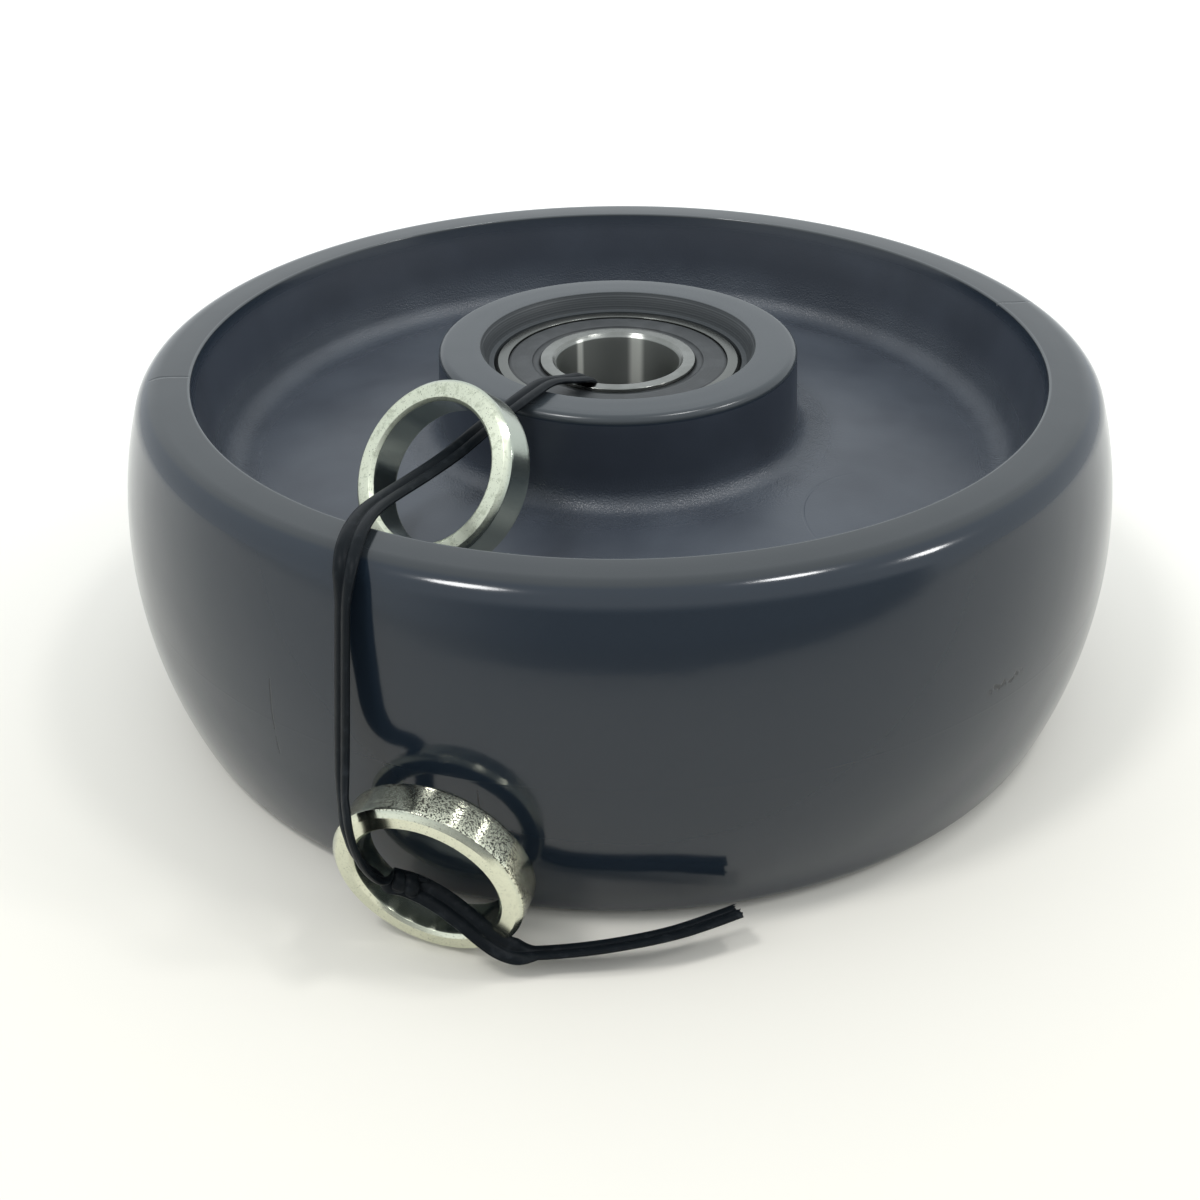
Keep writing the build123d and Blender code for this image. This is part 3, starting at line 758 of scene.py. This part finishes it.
def ribbon(name, centres, facings, ragged=0):
    """The strap's section carried along a line, its flat side turned to each facing."""
    one_rib = [RIB_HALF_WIDTH * (1 - math.cos(math.pi * step / RIB_STEPS)) for step in range(RIB_STEPS + 1)]
    across = [a - STRAP_HALF_WIDTH for a in one_rib[:-1]] + one_rib
    outline = [(a, strap_thickness(a)) for a in across] + [(a, -strap_thickness(a)) for a in reversed(across)]
    count = len(outline)
    places = []
    travelled = [0]
    for index, centre in enumerate(centres):
        along = (centres[min(index + 1, len(centres) - 1)] - centres[max(index - 1, 0)]).normalized()
        sideways = along.cross(facings[index]).normalized()
        upwards = sideways.cross(along)
        rag = ragged if index == len(centres) - 1 else 0
        for a, t in outline:
            part = a / STRAP_HALF_WIDTH
            uneven = rag * (math.sin(part * RAG_WAVES[0]) + math.sin(part * RAG_WAVES[1] + t / mm))
            places.append(centre + sideways * a + upwards * t + along * uneven)
        travelled.append(travelled[-1] + (centre - centres[index - 1]).length if index else 0)
    faces = [tuple(reversed(range(count))), tuple(range(len(places) - count, len(places)))]
    for ring in range(len(centres) - 1):
        for index in range(count):
            following = (index + 1) % count
            corner = ring * count
            ahead = corner + count
            faces.append((corner + index, corner + following, ahead + following, ahead + index))
    piece = mesh_piece(name, places, faces)
    lengthwise = piece.data.uv_layers.new(name="lengthwise")
    for loop in piece.data.loops:
        ring, index = divmod(loop.vertex_index, count)
        lengthwise.data[loop.index].uv = (travelled[ring + 1], outline[index][0])
    return piece


strap_plastic, finish, shader = finish_of("strap_plastic")
along_strap = finish.node("TexCoord", {}, {}, "UV")
drawn = along_strap.stretched(STRAP_DRAWING).noise(2600, 3, 0.6)
scuffs = place_of(finish).noise(420, 4, 0.6)
colour = scuffs.ramp(0.5, 0.72).tint(STRAP_BLACK, STRAP_GREY)
roughness = 0.30 + 0.2 * scuffs
dress(shader, colour, roughness, drawn, STRAP_RELIEF, strength=0.5)
shader.inputs["Specular IOR Level"].default_value = 0.08

route = []
route_facings = []
for facing, run in STRAP_RUNS:
    for point in run:
        route.append(Vector(point) * mm)
        route_facings.append(Vector(facing))
centres = spline_points("strap_line", route)
facings = []
for index in range(len(centres)):
    spot = index * (len(route) - 1) / (len(centres) - 1)
    start = min(int(spot), len(route) - 2)
    facings.append(route_facings[start].lerp(route_facings[start + 1], spot - start).normalized())
strap = ribbon("strap_band", centres, facings, CUT_RAG)

# Knot: a short wrap of the same black strap, wound once round itself inside the lower spacer and pulled
# tight, so that the ring can't slide off the end.
KNOT_START = 0.706
KNOT_SPAN = 0.012
KNOT_RADIUS = 1.5 * mm
KNOT_TURNS = 1.1
KNOT_STEPS = 60
knot_centres = []
knot_facings = []
for step in range(KNOT_STEPS + 1):
    part = step / KNOT_STEPS
    spot = (KNOT_START + KNOT_SPAN * part) * (len(centres) - 1)
    start = int(spot)
    along = (centres[start + 1] - centres[start]).normalized()
    outward = Matrix.Rotation(2 * math.pi * KNOT_TURNS * part, 3, along) @ along.orthogonal().normalized()
    knot_centres.append(centres[start].lerp(centres[start + 1], spot - start) + outward * KNOT_RADIUS)
    knot_facings.append(outward)
knot = ribbon("strap_knot", knot_centres, knot_facings)
for piece in (strap, knot):
    piece.data.materials.append(strap_plastic)
    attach(piece, "wheel")
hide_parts("tie_strap")

# Floor and light: a pale sheet whose colour is painted lighter towards the back as painted light, so that it
# runs off to white behind, an even white room with a dark end behind the camera, and a few lamps overhead.
FLOOR_SIZE = 4.0
FLOOR_NEAR = (0.80, 0.77, 0.70)
FLOOR_FAR_PAINTED_LIGHT = (0.98, 0.97, 0.94)
ROOM_LEVEL = 1.0
ROOM_COLOUR = (0.95, 1.0, 1.03)
PAPER_RELIEF = 0.02 * mm
DARK_END = (0.04, 0.04, 0.045)
DARK_END_ROUGHNESS = 0.85
DARK_END_SHARE = 0.7
DARK_END_X = 0.35
DARK_END_Y = -0.46
DARK_END_HALF = 0.95
DARK_END_LOW = 0.002
DARK_END_HIGH = 0.5
DARK_END_SIDES = (0.85, 0.4)
DARK_END_TOP = (0.38, 0.12)
SOFTBOX_SIZE = 0.60
LAMPS = {
    "front_left_lamp": ((-0.45, -0.34, 1.06), 0.22, 3.2),
    "right_lamp": ((0.41, -0.03, 1.10), 0.16, 1.8),
    "low_right_lamp": ((0.91, -0.17, 0.80), 0.16, 1.8),
    "left_softbox": ((-0.90, -0.15, 0.45), SOFTBOX_SIZE, 0.7),
    "right_softbox": ((0.95, -0.35, 0.35), SOFTBOX_SIZE, 0.8),
}
edge = FLOOR_SIZE / 2
floor_corners = [(-edge, -edge, 0), (edge, -edge, 0), (edge, edge, 0), (-edge, edge, 0)]
floor = mesh_piece("floor", floor_corners, [(0, 1, 2, 3)])
paper, finish, shader = finish_of("floor_paper")
place = place_of(finish)
_, y, _ = place.parts()
fibre = place.noise(300, 2)
# Painted light: the floor's colour runs from its near tone to white towards the back, standing in for light
# on the far floor.
colour = (y + 0.01 * fibre).ramp(-0.15, 0.35).tint(FLOOR_NEAR, FLOOR_FAR_PAINTED_LIGHT)
dress(shader, colour, 0.5 + 0.1 * fibre, fibre, PAPER_RELIEF, strength=0.2)
shader.inputs["Specular IOR Level"].default_value = 0.2
floor.data.materials.append(paper)

left = DARK_END_X - DARK_END_HALF
right = DARK_END_X + DARK_END_HALF
card_corners = [(left, DARK_END_Y, DARK_END_LOW), (right, DARK_END_Y, DARK_END_LOW),
                (right, DARK_END_Y, DARK_END_HIGH), (left, DARK_END_Y, DARK_END_HIGH)]
card = mesh_piece("dark_end", card_corners, [(0, 1, 2, 3)])
card.visible_camera = False
cloth, finish, shader = finish_of("dark_cloth")
x, _, z = place_of(finish).parts()
fade = DARK_END_SHARE * (x - DARK_END_X).sum("ABSOLUTE").ramp(*DARK_END_SIDES) * z.ramp(*DARK_END_TOP)
finish.tree.links.new(fade.socket, shader.inputs["Alpha"])
shader.inputs["Base Color"].default_value = (*DARK_END, 1)
shader.inputs["Roughness"].default_value = DARK_END_ROUGHNESS
card.data.materials.append(cloth)

room = bpy.data.worlds.new("white_room")
room.use_nodes = True
room.node_tree.nodes["Background"].inputs["Color"].default_value = (*ROOM_COLOUR, 1)
room.node_tree.nodes["Background"].inputs["Strength"].default_value = ROOM_LEVEL
scene.world = room
for name, (place, size, power) in LAMPS.items():
    light = bpy.data.lights.new(name, "AREA")
    light.shape = "DISK"
    light.size = size
    light.energy = power
    lamp = bpy.data.objects.new(name, light)
    aim = (-Vector(place)).to_track_quat("-Z", "Y")
    lamp.matrix_world = Matrix.Translation(place) @ aim.to_matrix().to_4x4()
    lamp.visible_glossy = size < SOFTBOX_SIZE
    scene.collection.objects.link(lamp)

# Camera: close to the wheel and looking down on it at about 32 degrees, nearly level, with its place and
# turn found from the ellipses of the wheel's circles in the photo. Angles are in radians.
CAMERA_PLACE = Vector((0.0, -0.2878, 0.1871))
CAMERA_PITCH = 0.5619
CAMERA_YAW = -0.01448
CAMERA_ROLL = -0.01017
SENSOR_WIDTH = 36
LENS_LENGTH = 45
camera_data = bpy.data.cameras.new("camera")
camera_data.sensor_width = SENSOR_WIDTH
camera_data.lens = LENS_LENGTH
camera_data.clip_start = 0.01
camera = bpy.data.objects.new("camera", camera_data)
turn = Matrix.Rotation(-CAMERA_YAW, 4, "Z") @ Matrix.Rotation(math.pi / 2 - CAMERA_PITCH, 4, "X")
camera.matrix_world = Matrix.Translation(CAMERA_PLACE) @ turn @ Matrix.Rotation(CAMERA_ROLL, 4, "Z")
scene.collection.objects.link(camera)
scene.camera = camera
scene.view_settings.view_transform = "Standard"
